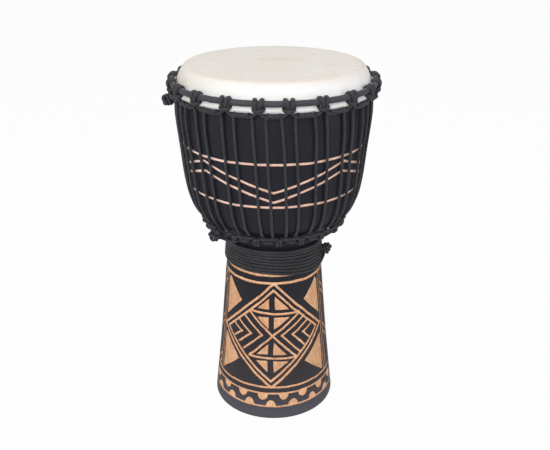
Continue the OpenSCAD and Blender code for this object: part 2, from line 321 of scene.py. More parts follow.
def raw_wood_material():
    m = Material("raw_wood")
    grain = m.noise(scale=200, detail=5, rough=0.65, distortion=0.5, stretch=(1, 1, 0.05))
    blot = m.noise(scale=20, detail=4, rough=0.6, stretch=(1, 1, 0.4))
    col = m.mix(blot, (0.42, 0.235, 0.120), (0.27, 0.140, 0.070))
    col = m.tint(col, (0.16, 0.080, 0.038), mask=m.ramp(grain, start=0.5, end=0.7), amount=0.5)
    relief = m.bump(grain, strength=0.6, distance=0.0006)
    return m.finish(Base_Color=col, Roughness=m.scaled(grain, gain=0.2, offset=0.62),
                    Normal=relief, Specular_IOR_Level=0.25)


def cord_material(name, hollow_shade, crest_light, bump, rough):
    """Braided cord: crossing carriers round the rope, laid out on its own length."""
    m = Material(name)
    u, v, _ = m.uv()
    carriers = 8.0
    phases = [m.times(m.math(way, m.times(u, carriers), v), TAU) for way in ("ADD", "SUBTRACT")]
    waves = [m.wave(phase) for phase in phases]
    braid = m.math("MAXIMUM", *[m.math("POWER", wave, 0.6) for wave in waves])
    fibre = m.noise(scale=1500, detail=2, rough=0.6)
    blot = m.noise(scale=45, detail=3, rough=0.6)
    height = m.scaled(fibre, gain=0.35, offset=braid)
    # painted shade: the braid's hollows are coloured darker and its crests lighter
    col = m.mix(m.ramp(braid, start=0.35, end=0.98), hollow_shade, crest_light)
    # light speckles on the fibres, partly lint and partly painted glints
    col = m.tint(col, tuple(min(1, 1.9 * channel) for channel in crest_light),
                 mask=m.ramp(fibre, start=0.5, end=0.75), amount=0.35)
    col = m.tint(col, hollow_shade, mask=blot, amount=0.35)
    # more pale speckles, partly lint and partly painted fibre glints
    lint_and_glints = m.noise(scale=620, detail=4, rough=0.7, distortion=0.8)
    col = m.tint(col, (0.125, 0.125, 0.136), mask=m.ramp(lint_and_glints, start=0.55, end=0.66), amount=0.60)
    rough = m.scaled(fibre, gain=0.25, offset=rough)
    return m.finish(Base_Color=col, Roughness=rough,
                    Normal=m.bump(height, strength=bump, distance=0.00035),
                    Specular_IOR_Level=0.42, Sheen_Weight=0.10, Sheen_Roughness=0.5)


def cloth_material(name, hollow_shade, crest_light, thread, specular, sheen):
    """Woven cloth: one thread per unit of UV each way."""
    m = Material(name)
    u, v, _ = m.uv()
    weave = m.math("MAXIMUM", m.wave(m.times(u, TAU)), m.wave(m.times(v, TAU)))
    fibre = m.noise(scale=900, detail=3, rough=0.6)
    blot = m.noise(scale=55, detail=3, rough=0.6)
    # painted shade between the threads and painted light on them
    col = m.mix(weave, hollow_shade, crest_light)
    col = m.tint(col, thread, mask=m.ramp(fibre, start=0.5, end=0.75), amount=0.4)
    col = m.tint(col, hollow_shade, mask=m.ramp(blot, start=0.35, end=0.65), amount=0.5)
    relief = m.bump(m.scaled(fibre, gain=0.5, offset=weave), strength=0.6, distance=0.0002)
    return m.finish(Base_Color=col, Roughness=m.scaled(fibre, gain=0.2, offset=0.5),
                    Normal=relief, Specular_IOR_Level=specular,
                    Sheen_Weight=sheen, Sheen_Roughness=0.4)


def steel_material():
    m = Material("ring_steel_rod")
    mottle = m.noise(scale=300, detail=4, rough=0.6)
    col = m.mix(mottle, (0.46, 0.46, 0.47), (0.62, 0.62, 0.63))
    return m.finish(Base_Color=col, Metallic=1.0,
                    Roughness=m.scaled(mottle, gain=0.25, offset=0.22),
                    Normal=m.bump(mottle, strength=0.2, distance=0.0001))


def hide_material():
    """Pale hide, streaked along X, with a brown band on top and a paler colour below, patchily
    darker towards -X as painted shade.
    """
    m = Material("goat_hide")
    place = m.position()
    streak = m.noise(scale=62, detail=6, rough=0.62, distortion=0.6, stretch=(0.22, 1, 1))
    veins = m.noise(scale=30, detail=5, rough=0.65, distortion=1.6, stretch=(0.5, 1, 1))
    pores = m.noise(scale=900, detail=3, rough=0.6, place=place)
    cloud = m.noise(scale=7.5, detail=4, rough=0.55, distortion=0.4, place=place)
    col = m.mix(cloud, (0.775, 0.730, 0.682), (0.718, 0.664, 0.606))
    col = m.tint(col, (0.690, 0.600, 0.515), mask=m.ramp(streak, start=0.50, end=0.68),
                 amount=0.26)
    col = m.tint(col, (0.60, 0.49, 0.40), mask=m.ramp(veins, start=0.55, end=0.72), amount=0.30)
    mottle = m.noise(scale=48, detail=6, rough=0.68, distortion=1.1, stretch=(0.8, 1, 1))
    col = m.tint(col, (0.725, 0.640, 0.555), mask=m.ramp(mottle, start=0.46, end=0.66),
                 amount=0.34)
    col = m.tint(col, (0.86, 0.84, 0.82),
                 mask=m.ramp(mottle, start=0.34, end=0.46, first=1, last=0), amount=0.30)
    col = m.tint(col, (0.56, 0.435, 0.335), mask=m.attribute("spine"), amount=0.6)
    col = m.tint(col, (0.66, 0.50, 0.37), mask=m.attribute("crease"), amount=0.40)
    # painted shade: where the hide falls over the edge, its colour goes patchily darker and warmer
    # towards -X
    left = m.fade(m.split(place)[0], zero_at=-0.055, one_at=-0.145)
    warm = m.times(left, m.scaled(cloud, gain=0.8, offset=0.5), clamp=True)
    side = m.mix(warm, (0.845, 0.828, 0.806), (0.700, 0.640, 0.572))
    col = m.mix(m.attribute("slope"), col, side)
    col = m.tint(col, (0.52, 0.40, 0.30), mask=m.ramp(pores, start=0.55, end=0.8), amount=0.16)
    relief = m.bump(pores, strength=0.25, distance=0.0002)
    relief = m.bump(streak, strength=0.25, distance=0.0007, under=relief)
    return m.finish(Base_Color=col, Roughness=m.scaled(pores, gain=0.2, offset=0.48),
                    Normal=relief, Specular_IOR_Level=0.35, Subsurface_Weight=0.12,
                    Subsurface_Radius=(0.004, 0.0022, 0.0012), Subsurface_Scale=1.0)


PAINT = paint_material()
CARVED = carved_material()
RAW = raw_wood_material()
CORD = cord_material("rope_black", hollow_shade=(0.0042, 0.0045, 0.0070),
                     crest_light=(0.0165, 0.0182, 0.0262), bump=0.8, rough=0.36)
# a darker copy of the black rope for the turns round the waist: the darker colours are painted
# shade
SLACK_SHADED = cord_material("rope_black_slack_shaded", hollow_shade=(0.0030, 0.0030, 0.0044),
                      crest_light=(0.0120, 0.0122, 0.0165), bump=0.64, rough=0.30)
CLOTH = cloth_material("ring_cloth_black", hollow_shade=(0.0170, 0.0165, 0.0215),
                       crest_light=(0.043, 0.042, 0.053), thread=(0.085, 0.087, 0.100),
                       specular=0.5, sheen=0.12)
# a shaded copy of the ring cloth for the bottom ring: its darker colours are painted shade
CLOTH_SHADED = cloth_material("ring_cloth_black_shaded", hollow_shade=(0.0045, 0.0043, 0.0060),
                           crest_light=(0.0105, 0.0102, 0.0140), thread=(0.030, 0.030, 0.036),
                           specular=0.28, sheen=0.04)
STEEL = steel_material()
HIDE = hide_material()


# ---------------------------------------------------------------- convex polygons
def hull(points):
    """Counter-clockwise convex hull."""
    points = sorted(set((round(float(x), 4), round(float(y), 4)) for x, y in points))

    def half(ordered):
        out = []
        for p in ordered:
            while len(out) > 1 and ((out[-1][0] - out[-2][0]) * (p[1] - out[-2][1])
                                    - (out[-1][1] - out[-2][1]) * (p[0] - out[-2][0])) <= 1e-9:
                out.pop()
            out.append(p)
        return out

    return np.array(half(points)[:-1] + half(points[::-1])[:-1])


def sides(polygon):
    """Side vectors and unit normals pointing inward."""
    edges = np.roll(polygon, -1, 0) - polygon
    normals = np.stack([-edges[:, 1], edges[:, 0]], 1)
    return edges, normals / np.linalg.norm(edges, axis=1)[:, None]


def inset(polygon, distance):
    """The polygon with every side moved in, or None if it closes up."""
    edges, normals = sides(polygon)
    out = []
    for i, corner in enumerate(polygon):
        pair = np.array([normals[i - 1], normals[i]])
        if abs(np.linalg.det(pair)) < 1e-3:
            out.append(corner + normals[i] * distance)
        else:
            out.append(np.linalg.solve(pair, [normals[i - 1] @ corner + distance,
                                              normals[i] @ corner + distance]))
    out = np.array(out)
    if ((np.roll(out, -1, 0) - out) * edges).sum(1).min() <= 0:
        return None
    return out


def inside(polygon, points):
    """How far each point is inside the polygon; below zero outside."""
    _, normals = sides(polygon)
    return ((points[:, None, :] - polygon[None]) * normals[None]).sum(2).min(1)


# ---------------------------------------------------------------- carved charts
LINE, FILL, DISC = 0, 1, 2
CUT_DEPTH, BEVEL = 1.15, 0.55
FILL_STEP, FILL_STEP_END, FILL_RISE = 1.5, 2.2, 0.45  # a fill's floor rises inside its border
SEGMENT, GRID = 3.0, 4.4    # longest piece of a cut's outline; spacing of the loose points
SEAM_SEGMENT = 4.0
RING_SEGMENTS = 150


class Chart:
    """The turned surface between two heights, unrolled to (mm round, z), with cuts in it."""

    def __init__(self, radius, field):
        self.low, self.high = field
        self.length = TAU * radius
        self.per_degree = self.length / 360
        self.cuts = []  # (convex polygon, kind)

    def place(self, point):
        """Chart position of (azimuth, share of HEIGHT)."""
        return np.array([point[0] * self.per_degree, point[1] * HEIGHT])

    def add(self, points, kind):
        """Add a convex cut, repeated wherever it reaches over the seam at the back."""
        polygon, reach = hull(points), self.length / 2 + 6
        for shift in (-self.length, 0, self.length):
            moved = polygon + [shift, 0]
            if moved[:, 0].max() > -reach and moved[:, 0].min() < reach:
                self.cuts.append((moved, kind))

    def ring(self, z, width):
        """A line right round; z and width are shares of HEIGHT."""
        end = self.length / 2 + 5
        z, half = z * HEIGHT, width * HEIGHT / 2
        self.cuts.append((np.array([[-end, z - half], [end, z - half],
                                    [end, z + half], [-end, z + half]]), LINE))

    def line(self, points, width, closed=False):
        """A cut line with mitred corners; width is a share of HEIGHT."""
        points = [self.place(p) for p in points]
        half = width * HEIGHT / 2
        count = len(points) if closed else len(points) - 1
        steps = [points[(i + 1) % len(points)] - points[i] for i in range(count)]
        steps = [step / np.linalg.norm(step) for step in steps]

        def mitre(i, other):
            if not closed and not 0 <= other < count:
                return 0.0
            turn = math.acos(max(-1, min(1, float(steps[other % count] @ steps[i]))))
            return min(half * math.tan(turn / 2), 2.2 * half)

        for i, step in enumerate(steps):
            start = points[i] - step * mitre(i, i - 1)
            end = points[(i + 1) % len(points)] + step * mitre(i, i + 1)
            across = np.array([-step[1], step[0]]) * half
            self.add([start - across, end - across, end + across, start + across], LINE)

    def fill(self, points):
        self.add([self.place(p) for p in points], FILL)

    def outline(self):
        """Points and edges the mesh must keep, then loose points between them."""
        length, low, high = self.length, self.low, self.high
        points, edges, seen = [], [], {}

        def vertex(p):
            key = (round(float(p[0]), 3), round(float(p[1]), 3))
            if key not in seen:
                seen[key] = len(points)
                points.append(key)
            return seen[key]

        def chain(a, b, step):
            n = max(1, int(math.ceil(np.linalg.norm(b - a) / step)))
            ids = [vertex(a + (b - a) * t / n) for t in range(n + 1)]
            edges.extend((i, j) for i, j in zip(ids, ids[1:]) if i != j)

        def right_round(z, n):
            ids = [vertex((-length / 2 + length * i / n, z)) for i in range(n + 1)]
            edges.extend(zip(ids, ids[1:]))

        for z in (low, high):
            right_round(z, AROUND)
        for seam in (-length / 2, length / 2):
            chain(np.array([seam, low]), np.array([seam, high]), SEAM_SEGMENT)
        for polygon, kind in self.cuts:
            is_ring = polygon[:, 0].max() - polygon[:, 0].min() > length
            for depth in (0, BEVEL) + ((FILL_STEP, FILL_STEP_END) if kind == FILL else ()):
                loop = polygon if depth == 0 else inset(polygon, depth)
                if loop is None:
                    continue
                for a, b in zip(loop, np.roll(loop, -1, 0)):
                    if not is_ring:
                        chain(a, b, SEGMENT)
                    elif abs(a[1] - b[1]) < 1e-6:
                        right_round(a[1], RING_SEGMENTS)
        tree = kdtree.KDTree(len(points))
        for i, p in enumerate(points):
            tree.insert((p[0], p[1], 0), i)
        tree.balance()
        columns, rows = int(length / GRID), int((high - low) / GRID)
        for j in range(1, rows):
            for i in range(columns):
                x = -length / 2 + length * (i + (0.25 if j % 2 else 0.75)) / columns
                z = low + (high - low) * j / rows
                if tree.find((x, z, 0))[2] > 0.42 * GRID:
                    vertex((x, z))
        return points, edges

    def triangulate(self):
        points, edges = self.outline()
        out, _, tris, *_ = geometry.delaunay_2d_cdt([Vector(p) for p in points], edges, [], 0, 1e-4)
        points = np.array([tuple(p) for p in out])
        tris = np.array([t for t in tris if len(t) == 3])
        centres = points[tris].mean(1)
        keep = ((abs(centres[:, 0]) < self.length / 2 - 1e-4)
                & (centres[:, 1] > self.low) & (centres[:, 1] < self.high))
        return points, tris[keep], centres[keep]

    def cut(self, points, centres):
        """Depth, fill and rim of each point, and whether each triangle is carved."""
        depth = np.zeros(len(points))
        filled = np.zeros(len(points))
        deepest_in = np.full(len(points), -9.0)
        line_in = np.full(len(points), -9.0)
        carved = np.zeros(len(centres), bool)
        for polygon, kind in self.cuts:
            lo, hi = polygon.min(0) - 1, polygon.max(0) + 1
            near = np.where(((points > lo) & (points < hi)).all(1))[0]
            s = inside(polygon, points[near])
            deepest_in[near] = np.maximum(deepest_in[near], s)
            down = CUT_DEPTH * np.clip(s / BEVEL, 0, 1)
            if kind == FILL:
                up = np.clip((s - FILL_STEP) / 0.7, 0, 1)
                down = down - FILL_RISE * up * up * (3 - 2 * up)
                filled[near] = np.maximum(filled[near], np.clip((s - 1.4) / 0.8, 0, 1))
            else:
                line_in[near] = np.maximum(line_in[near], s)
            if kind == DISC:
                filled[near] = np.maximum(filled[near], 0.42 * np.clip(s / 0.8, 0, 1))
            depth[near] = np.maximum(depth[near], down)
            near = np.where(((centres > lo) & (centres < hi)).all(1))[0]
            carved[near] |= inside(polygon, centres[near]) > 0
        filled *= np.clip(1 - line_in / 0.5, 0, 1)
        rim = np.where(deepest_in > -0.05, 1 - np.clip(depth / (0.8 * CUT_DEPTH), 0, 1), 0)
        return depth, filled, rim, carved

    def build(self, seed, carved_slot):
        """A mesh part on the wood, the cuts wandering a little as if made by hand."""
        points, tris, centres = self.triangulate()
        depth, filled, rim, carved = self.cut(points, centres)
        used = np.unique(tris)
        renumber = -np.ones(len(points), int)
        renumber[used] = np.arange(len(used))
        points, tris, depth = points[used], renumber[tris], depth[used]
        azimuths = points[:, 0] / self.per_degree
        from_edge = np.minimum(points[:, 1] - self.low, self.high - points[:, 1])
        strength = 0.8 * np.clip(from_edge / 14, 0, 1)
        out = np.empty((len(points), 3))
        for i, azimuth in enumerate(azimuths):
            x, y, z = at(100, azimuth, points[i, 1])
            bx, by, bz = x * .045, y * .045, z * .045  # broad wander
            fx, fy, fz = x * .16, y * .16, z * .16     # fine wander
            aside = strength[i] * (noise_at(bx + seed, by, bz)
                                   + 0.45 * noise_at(fx, fy, fz + seed))
            rise = strength[i] * (noise_at(bx, by + seed + 7, bz)
                                  + 0.45 * noise_at(fx + 9, fy, fz + seed))
            height = points[i, 1] + rise
            uneven = 1 + 0.18 * noise_at(x * .3, y * .3, z * .3)
            out[i] = at(wood(height) - depth[i] * uneven, azimuth + aside / self.per_degree, height)
        return out, tris, carved.astype(int) * carved_slot, filled[used], rim[used]


# All carving below is in (azimuth, share of HEIGHT); widths are shares of HEIGHT.
FIELD_LOW, FIELD_HIGH = .1035, .4242  # lines that bound the foot's main band
# z, width
FOOT_RINGS = [(.4462, .0074), (FIELD_HIGH, .0078), (FIELD_LOW, .0064), (.0835, .0058),
              (.0425, .006)]
# lines of the large diamond, cut at the front and again at the back: width, closed, points
DIAMOND_LINES = [
    (.0074, True, [(0, FIELD_HIGH), (61.0, .266), (-2.5, FIELD_LOW), (-65.5, .262)]),
    (.0068, True, [(-.4, .4035), (53.5, .2655), (-3, .1225), (-58, .262)]),
    (.0068, False, [(-28.5, .3385), (0, .3325), (30, .3315)]),
    (.0068, False, [(-27.5, .1975), (0, .1945), (24.5, .194)]),
    (.0066, False, [(-28, .336), (-1.5, .265), (24, .196)]),
    (.0066, False, [(30, .331), (-1.5, .265), (-27, .197)]),
    # nested chevrons in the left and right corners
    (.0062, False, [(-34.5, .3215), (-13, .266), (-34.5, .2125)]),
    (.0062, False, [(-42.5, .302), (-25.5, .266), (-40.5, .2305)]),
    (.0062, False, [(-49, .2845), (-37, .265), (-47.5, .2425)]),
    (.0062, False, [(36, .3175), (8.5, .266), (29, .2065)]),
    (.0062, False, [(40, .3), (21, .266), (35, .2215)]),
    (.0062, False, [(46, .2835), (33.5, .266), (42, .241)])]
# hollowed shapes in and round the diamond
DIAMOND_FILLS = [
    [(-19, .3475), (-5.2, .3455), (-5.2, .379)], [(1.5, .345), (17.5, .344), (1, .386)],
    [(-18.5, .322), (-5.8, .3235), (-5.5, .285)], [(0, .323), (18.5, .321), (0, .285)],
    [(-18.5, .2055), (-5.8, .207), (-5.8, .240)], [(-.8, .206), (14, .205), (-.2, .246)],
    [(-19, .186), (-6.6, .1865), (-6.3, .151)], [(-.8, .1865), (16, .184), (-.2, .150)],
    [(-60, .4165), (-38.5, .360), (-63.6, .292), (-63.6, .4095)],
    [(-61.5, .236), (-38.5, .177), (-63.8, .114), (-63.8, .236)],
    [(56, .4165), (36, .364), (60.2, .298), (59.6, .404)],
    [(60.2, .236), (33.5, .172), (60.2, .1115), (60.6, .2)]]
UPRIGHTS, UPRIGHT_WIDTH = (-66.6, -71.0, 63.4, 68.0), .0040
# double chevrons on the right and left sides: middle azimuth, half span, tops
SIDE_CHEVRONS = [(90.2, 21.6, (.388, .253)), (-92.2, 21.0, (.420, .285, .152))]
CHEVRON_DROP, CHEVRON_PITCH, CHEVRON_WIDTH = .062, .0235, .0052
# half discs under and over the lower rings: first azimuth, flat side's z, up or down,
# height, half width in degrees
HALF_DISCS = [(-11.5, .0840, -1, .0215, 5.2), (-2.2, .0415, 1, .0215, 5.1)]
DISC_COUNT = 17


def side_chevrons(chart, middle, half, tops):
    """Nested V lines, cut short where they meet the lower ring, under one triangle."""
    for top in tops:
        for z in (top, top - CHEVRON_PITCH):
            if z - CHEVRON_DROP > .112:
                chart.line([(middle - half, z), (middle, z - CHEVRON_DROP), (middle + half, z)],
                           CHEVRON_WIDTH)
            elif z > .118:
                gap = half * (1 - (z - FIELD_LOW) / CHEVRON_DROP)
                for sign in (-1, 1):
                    chart.line([(middle + sign * half, z), (middle + sign * gap, FIELD_LOW)],
                               CHEVRON_WIDTH)
    chart.fill([(middle - 5, .405), (middle + 5, .405), (middle, .372)])


def foot_chart():
    chart = Chart(93.0, FOOT_FIELD)
    for z, width in FOOT_RINGS:
        chart.ring(z, width)
    for turn in (0.0, 180.0):
        for width, closed, points in DIAMOND_LINES:
            chart.line([(a + turn, z) for a, z in points], width, closed)
        for points in DIAMOND_FILLS:
            chart.fill([(a + turn, z) for a, z in points])
        for a in UPRIGHTS:
            chart.line([(a + turn, FIELD_HIGH), (a + turn, FIELD_LOW)], UPRIGHT_WIDTH)
    for middle, half, tops in SIDE_CHEVRONS:
        side_chevrons(chart, middle, half, tops)
    for i in range(DISC_COUNT):
        for first, z, sign, height, half in HALF_DISCS:
            # spacing and size vary a little
            a = first + 360 * i / DISC_COUNT + 0.9 * math.sin(5.1 * i + first)
            wide = half * (1 + 0.05 * math.sin(3.3 * i + first))
            arc = [math.pi * t / 12 for t in range(13)]
            chart.add([chart.place((a + wide * math.cos(t), z + sign * height * math.sin(t)))
                       for t in arc], DISC)
    return chart


def bowl_chart():
    """Two rings with two zigzags of four peaks between them."""
    chart = Chart(146.0, BOWL_FIELD)
    for z in (.803, .688):
        chart.ring(z, .0066)
    for low, high in ((.7275, .790), (.7020, .7645)):
        points = []
        for i in range(4):
            points += [(90 * i - 180, low), (90 * i - 135, high)]
        chart.line(points + [(180, low)], .0064)
    return chart


# ---------------------------------------------------------------- shell
AZIMUTHS = -180 + 360 * np.arange(AROUND) / AROUND


def lathe(profile):
    """Vertices and quads for each (r, z); faces look outward where the profile climbs."""
    points = np.concatenate([at(r, AZIMUTHS, z) for r, z in profile])
    faces = []
    for j in range(len(profile) - 1):
        a, b = j * AROUND, (j + 1) * AROUND
        for i in range(AROUND):
            k = (i + 1) % AROUND
            faces.append((a + i, a + k, b + k, b + i))
    return points, faces


def turned(profile, slot):
    """An uncarved part: points, faces, material slots, fill, rim."""
    points, faces = lathe(profile)
    return points, faces, [slot] * len(faces), np.zeros(len(points)), np.zeros(len(points))


def carved_object(name, parts, materials):
    """One object from parts, their vertices welded at 0.01 mm."""
    faces, slots, base = [], [], 0
    for points, part_faces, part_slots, _, _ in parts:
        faces += [tuple(int(i) + base for i in face) for face in part_faces]
        slots += list(part_slots)
        base += len(points)
    points, fill, rim = (np.concatenate([part[i] for part in parts]) for i in (0, 3, 4))
    _, first, merged = np.unique(np.round(points, 2), axis=0,
                                 return_index=True, return_inverse=True)
    merged = merged.reshape(-1)
    kept, kept_slots = [], []
    for face, slot in zip(faces, slots):
        face = [int(merged[i]) for i in face]
        face = [x for i, x in enumerate(face) if x != face[i - 1]]
        if len(set(face)) >= 3:
            kept.append(tuple(face))
            kept_slots.append(slot)
    return make(name, points[first], kept, materials, face_slots=kept_slots,
                attrs={"fill": fill[first], "rim": rim[first]}, sharp=34)


def heights(a, b, step):
    n = max(1, round(abs(b - a) / step))
    return [a + (b - a) * i / n for i in range(n + 1)]


def build_foot():
    roll = FOOT_ROLL + [(wood(z), z) for z in (5.0, 7.5, FOOT_FIELD[0])]
    parts = [turned(roll, 0), foot_chart().build(seed=3.0, carved_slot=1)]
    return carved_object("shell_foot", parts, [PAINT, CARVED])


def build_bowl():
    """Waist, underside, carved field, upper bowl and bearing edge."""
    (low, high), waist = BOWL_FIELD, FOOT_FIELD[1]
    under = [(wood(z), z) for z in heights(waist, 330, 4) + heights(330, low, 2.6)[1:]]
    upper = [(wood(z), z) for z in heights(high, WOOD_TOP, 5)]
    edge = [(EDGE_R + out, EDGE_Z - drop) for out, drop in BEARING_EDGE]
    painted = 4  # stations of the edge that carry paint
    parts = [turned(under, 0), bowl_chart().build(seed=11.0, carved_slot=2),
             turned(upper + edge[:painted], 0), turned(edge[painted - 1:], 1)]
    return carved_object("shell_bowl", parts, [PAINT, RAW, CARVED])


def build_inside():
    """Inner wall with the adze marks left by hollowing, and the lip under the foot."""
    scoop_height, scoops_round = 19, 34
    levels = heights(INNER_TOP[1], 400, 6)[1:] + heights(400, 250, 5)[1:] + heights(250, 0, 6)[1:]
    profile = [INNER_TOP] + [(float(wall_radius(INNER_WALL, z)), z) for z in levels]
    points, faces = lathe(profile[::-1])
    for p in points:
        if 8 < p[2] < 586:
            a = math.degrees(math.atan2(p[0], -p[1]))
            level = p[2] / scoop_height
            row = math.floor(level)
            u = (a + 180) / 360 * scoops_round + 0.5 * (row % 2) + 0.3 * noise_at(row * 3.1, 0, 0)
            cell = noise_at(math.floor(u) * 1.7, row * 2.3, 1.0)
            scoop = ((abs(u - math.floor(u) - 0.5) * 2) ** 2
                     + (abs(level - row - 0.5) * 2) ** 2)
            out = 0.55 * (scoop - 1) + 0.5 * cell
            p[:2] *= 1 + out / math.hypot(p[0], p[1])
    faces = [face[::-1] for face in faces]
    base = len(points)
    points = np.concatenate([points, at(FOOT_ROLL[0][0], AZIMUTHS, FOOT_ROLL[0][1])])
    for i in range(AROUND):
        k = (i + 1) % AROUND
        faces.append((i, k, base + k, base + i))
    return make("shell_inside", points, faces, [RAW])


for piece in [build_foot(), build_bowl(), build_inside()]:
    register(piece, "shell", "shell")


# ---------------------------------------------------------------- cords
def resample(stations, step, closed):
    """A centripetal curve through (x, y, z, radius), evenly spaced; also its length."""
    stations = np.asarray(stations, float)
    if closed:
        padded = np.concatenate([stations[-1:], stations, stations[:2]])
        spans = len(stations)
    else:
        padded = np.concatenate([2 * stations[:1] - stations[1:2], stations,
                                 2 * stations[-1:] - stations[-2:-1]])
        spans = len(stations) - 1

    def lerp(t, ta, tb, a, b):
        return (tb - t) / (tb - ta) * a + (t - ta) / (tb - ta) * b

    out = []
    for i in range(spans):
        p = padded[i:i + 4]
        d = np.maximum(np.sqrt(np.linalg.norm(np.diff(p[:, :3], axis=0), axis=1)), 1e-3)
        t0, t1, t2, t3 = 0, d[0], d[0] + d[1], d.sum()
        t = np.linspace(t1, t2, 17)[:-1][:, None]
        a1 = lerp(t, t0, t1, p[0], p[1])
        a2 = lerp(t, t1, t2, p[1], p[2])
        a3 = lerp(t, t2, t3, p[2], p[3])
        b1 = lerp(t, t0, t2, a1, a2)
        b2 = lerp(t, t1, t3, a2, a3)
        out.append(lerp(t, t1, t2, b1, b2))
    curve = np.concatenate(out + [stations[:1] if closed else stations[-1:]])
    gaps = np.linalg.norm(np.diff(curve[:, :3], axis=0), axis=1)
    along = np.concatenate([[0], np.cumsum(gaps)])
    count = max(4, int(round(along[-1] / step)))
    count += count % 2
    t = np.linspace(0, along[-1], count + 1)
    even = np.stack([np.interp(t, along, curve[:, j]) for j in range(4)], 1)
    return (even[:-1] if closed else even), along[-1]


def cross_axes(centres, closed):
    """Two axes across the cord at each centre, carried along it without twisting."""
    if closed:
        along = np.roll(centres, -1, 0) - np.roll(centres, 1, 0)
    else:
        along = np.gradient(centres, axis=0)
    along /= np.linalg.norm(along, axis=1)[:, None]
    first = np.empty_like(centres)
    u = np.array([0.31, 0.23, 0.92])
    for i, direction in enumerate(along):
        u = u - (u @ direction) * direction
        u = u / np.linalg.norm(u)
        first[i] = u
    if closed:
        # spread the mismatch where the ends meet over the whole length
        end = first[-1] - (first[-1] @ along[0]) * along[0]
        end /= np.linalg.norm(end)
        twist = math.atan2(np.cross(end, first[0]) @ along[0], end @ first[0])
        turn = np.linspace(0, twist, len(centres))[:, None]
        first = first * np.cos(turn) + np.cross(along, first) * np.sin(turn)
    return first, np.cross(along, first)


def tube(name, paths, material, sides=12, step=1.15, relief=0.055, closed=False):
    """Braided cord on each path, knobbly because crossing carriers stand up in turn."""
    braid_repeat = 2.4
    points, faces, uv = [], [], []
    base = 0
    for path in paths:
        stations, length = resample(path, step, closed)
        centres, radii = stations[:, :3], stations[:, 3]
        n = len(centres)
        first, second = cross_axes(centres, closed)
        angles = TAU * np.arange(sides) / sides
        knobs = np.where((np.arange(n)[:, None] + np.arange(sides)[None]) % 2 == 0,
                         1 + relief, 1 - relief)
        taper = np.ones(n)
        if not closed:
            taper[[0, -1]] = 0.55
            taper[[1, -2]] = 0.9
        radii = radii[:, None] * knobs * taper[:, None]
        ring = (np.cos(angles)[None, :, None] * first[:, None]
                + np.sin(angles)[None, :, None] * second[:, None])
        points.append((centres[:, None] + radii[..., None] * ring).reshape(-1, 3))
        for i in range(n if closed else n - 1):
            a, b = base + i * sides, base + (i + 1) % n * sides
            v0, v1 = i * length / n / braid_repeat, (i + 1) * length / n / braid_repeat
            for k in range(sides):
                q = (k + 1) % sides
                faces.append((a + k, a + q, b + q, b + k))
                u0, u1 = k / sides, (k + 1) / sides
                uv += [(u0, v0), (u1, v0), (u1, v1), (u0, v1)]
        if not closed:
            faces.append(tuple(base + k for k in range(sides))[::-1])
            faces.append(tuple(base + (n - 1) * sides + k for k in range(sides)))
            uv += [(k / sides, 0) for k in range(sides)][::-1]
            uv += [(k / sides, length / braid_repeat) for k in range(sides)]
        base += n * sides
    return make(name, np.concatenate(points), faces, [material], uv=uv)


def row(radius, azimuth, z, cord_radius):
    """A path station from drum coordinates."""
    return [*map(float, at(radius, azimuth, z)), cord_radius]


# ---------------------------------------------------------------- hitches round the rings
LOOPS = 21
PITCH = 360 / LOOPS
FIRST = 8.571  # azimuth of loop 0
FIRST_LOOP = -4
# degrees each top hitch strays from even spacing, from loop FIRST_LOOP on
STRAY = [-1.4, -1.2, 0.6, 0.85, -0.95, -0.15, 1.45, 1.9, 0.8, -0.6, 0.5, -0.8, 0.4,
         0.9, -0.5, -0.9, 0.3, 0.7, -0.4, 0.5, -0.3]
# Half a hitch: mm sideways, angle round the ring's section (0 outward, 90 away from the
# cords), distance from the section's centre, cord radius
TOP_HITCH = [
    (-2.6, -83, 12.9, 2.2), (-2.2, -76, 10.7, 2.25), (-2.1, -62, 8.7, 2.5), (-2.5, -36, 7.0, 2.9),
    (-3.3, -2, 6.2, 3.2), (-4.2, 35, 5.6, 3.45), (-4.8, 75, 5.2, 3.5), (-5.3, 105, 5.3, 3.1),
    (-5.8, 145, 5.6, 2.3), (-6.1, 190, 5.7, 1.8), (-6.6, 232, 6.2, 2.1), (-7.1, 262, 6.8, 2.5),
    (-6.9, 284, 8.2, 2.8), (-5.2, 298, 10.1, 2.8), (-2.2, 303, 10.9, 2.7)]
BOTTOM_HITCH = [
    (-4.2, -74, 9.8, 2.0), (-2.6, -66, 7.6, 2.05), (-2.1, -38, 5.7, 2.05), (-2.1, 10, 5.1, 2.05),
    (-2.5, 55, 4.0, 1.95), (-2.8, 100, 3.4, 1.85), (-3.2, 140, 3.9, 1.8), (-4.2, 185, 4.6, 1.7),
    (-5.2, 232, 5.2, 1.8), (-6.0, 266, 5.7, 1.95), (-6.0, 292, 7.2, 2.0), (-4.8, 308, 8.8, 2.05),
    (-2.1, 312, 9.3, 2.1)]
# the cord's rise into a top hitch: degrees aside, radius, z
TOP_RISE = [(5.4, 160.6, 555.8), (4.1, 160.7, 556.2), (2.9, 160.9, 557.6), (1.8, 160.9, 559.7)]
# the cord's way into a bottom hitch: degrees aside, radius, z, cord radius
BOTTOM_ENTRY = [(4.8, 119.2, 350.9, 2.6), (3.4, 118.0, 350.5, 2.3)]


def top_azimuth(k):
    """Azimuth of top hitch k."""
    i = (k - FIRST_LOOP) % LOOPS
    return FIRST + (i + FIRST_LOOP) * PITCH + STRAY[i]


def bottom_azimuth(k):
    """Azimuth of the bottom hitch that sits before top hitch k, set over by the lacing."""
    a = FIRST + k * PITCH - PITCH / 2
    i = k - FIRST_LOOP
    stray = (STRAY[i % LOOPS] + STRAY[(i - 1) % LOOPS]) / 2
    lean = 4.2 + 2.6 * math.sin(math.radians(a))
    return a + lean + 0.6 * stray


def between(a, b):
    """Azimuth half way from a up to b."""
    return a + ((b - a) % 360) / 2


